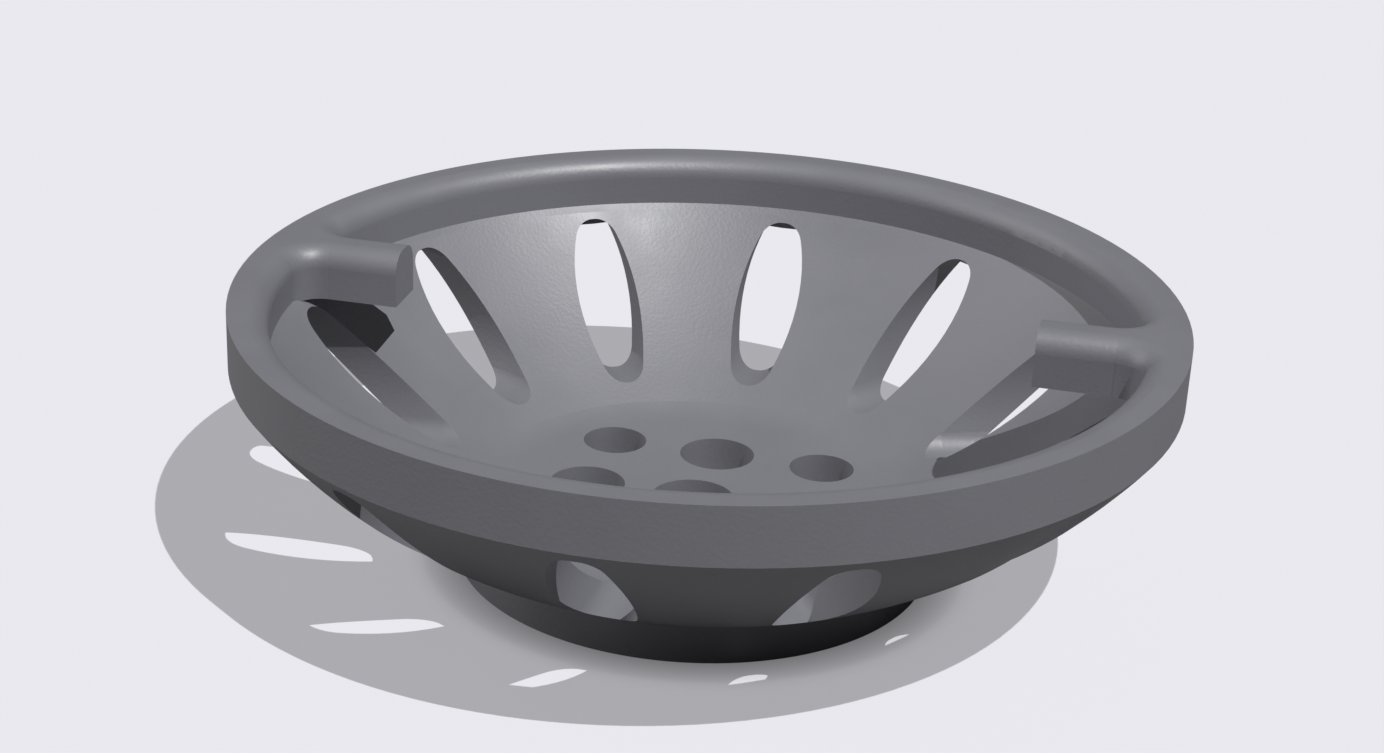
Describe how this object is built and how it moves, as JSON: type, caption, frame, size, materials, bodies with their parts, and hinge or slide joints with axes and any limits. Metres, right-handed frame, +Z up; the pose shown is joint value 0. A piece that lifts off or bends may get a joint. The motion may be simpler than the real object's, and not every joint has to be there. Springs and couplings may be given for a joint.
{
  "type": "sink strainer",
  "caption": "Round drain strainer: a slotted bowl with a perforated floor, an upright rim with two inward finger lugs, and a foot ring to stand on.",
  "frame": {"origin": "centre of the foot ring's bottom face, on the ground", "axes": "+Z up along the bowl's centre line, +X along the two finger lugs, +Y towards the side to which both lugs are set off"},
  "size_m": [0.084, 0.084, 0.0248],
  "materials": {
    "rim_plastic": "matte",
    "bowl_plastic": "matte",
    "foot_plastic": "matte"
  },
  "bodies": {
    "root": {"rim_ring": "rim_plastic", "strainer_bowl": "bowl_plastic", "foot_ring": "foot_plastic"}
  },
  "joints": []
}
